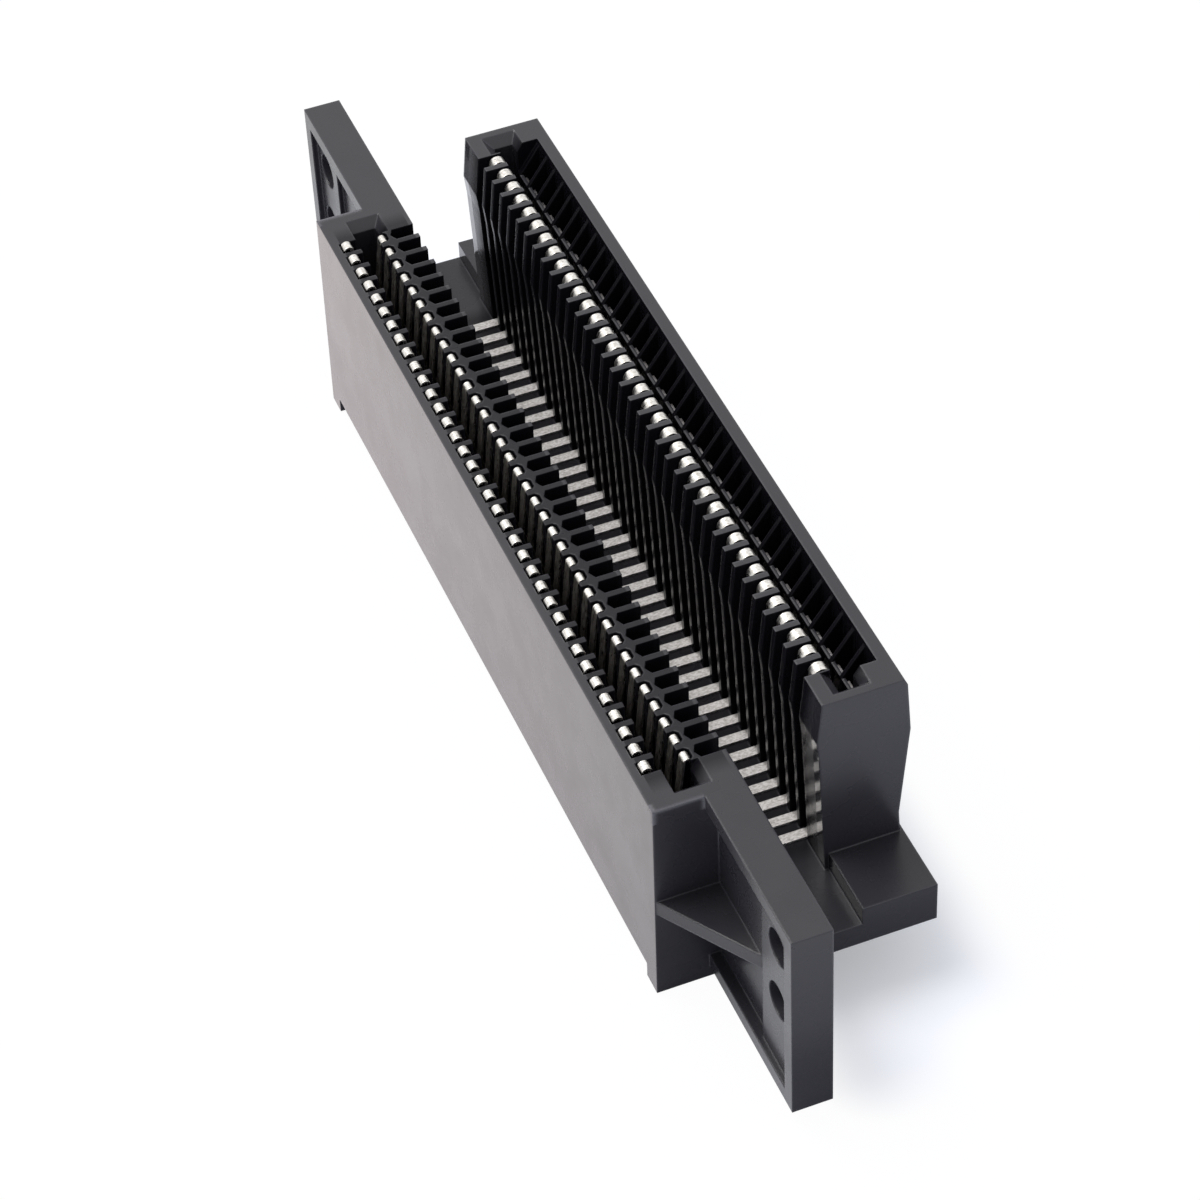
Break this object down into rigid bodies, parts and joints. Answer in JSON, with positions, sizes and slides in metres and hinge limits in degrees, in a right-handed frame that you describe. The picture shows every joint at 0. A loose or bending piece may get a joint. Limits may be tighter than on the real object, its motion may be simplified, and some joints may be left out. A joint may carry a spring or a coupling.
{
  "type": "cartridge slot connector",
  "caption": "Through-board slot connector: a moulded housing joins a board edge slot to a raised cartridge channel by rows of bent spring contacts.",
  "frame": {"origin": "middle of the part's bounding box along X and Y, at the foot of the skirt", "axes": "+X along the contact rows, +Y from the board slot towards the cartridge wall, +Z out of both slots"},
  "size_m": [0.14, 0.0278, 0.0327],
  "materials": {
    "black_moulding": "smooth glossy black plastic with faint moulding marks",
    "plated_contact": "bright tin plated spring strip, lightly scratched"
  },
  "bodies": {
    "root": {"housing": "black_moulding", "inner_contact_01": "plated_contact", "inner_contact_02": "plated_contact", "inner_contact_03": "plated_contact", "inner_contact_04": "plated_contact", "inner_contact_05": "plated_contact", "inner_contact_06": "plated_contact", "inner_contact_07": "plated_contact", "inner_contact_08": "plated_contact", "inner_contact_09": "plated_contact", "inner_contact_10": "plated_contact", "inner_contact_11": "plated_contact", "inner_contact_12": "plated_contact", "inner_contact_13": "plated_contact", "inner_contact_14": "plated_contact", "inner_contact_15": "plated_contact", "inner_contact_16": "plated_contact", "inner_contact_17": "plated_contact", "inner_contact_18": "plated_contact", "inner_contact_19": "plated_contact", "inner_contact_20": "plated_contact", "inner_contact_21": "plated_contact", "inner_contact_22": "plated_contact", "inner_contact_23": "plated_contact", "inner_contact_24": "plated_contact", "inner_contact_25": "plated_contact", "inner_contact_26": "plated_contact", "inner_contact_27": "plated_contact", "inner_contact_28": "plated_contact", "inner_contact_29": "plated_contact", "inner_contact_30": "plated_contact", "inner_contact_31": "plated_contact", "inner_contact_32": "plated_contact", "inner_contact_33": "plated_contact", "inner_contact_34": "plated_contact", "inner_contact_35": "plated_contact", "inner_contact_36": "plated_contact", "outer_contacts_01_02": "plated_contact", "outer_contacts_03_04": "plated_contact", "outer_contacts_05_06": "plated_contact", "outer_contacts_07_08": "plated_contact", "outer_contacts_09_10": "plated_contact", "outer_contacts_11_12": "plated_contact", "outer_contacts_13_14": "plated_contact", "outer_contacts_15_16": "plated_contact", "outer_contacts_17_18": "plated_contact", "outer_contacts_19_20": "plated_contact", "outer_contacts_21_22": "plated_contact", "outer_contacts_23_24": "plated_contact", "outer_contacts_25_26": "plated_contact", "outer_contacts_27_28": "plated_contact", "outer_contacts_29_30": "plated_contact", "outer_contacts_31_32": "plated_contact", "outer_contacts_33_34": "plated_contact", "outer_contacts_35_36": "plated_contact"}
  },
  "joints": []
}
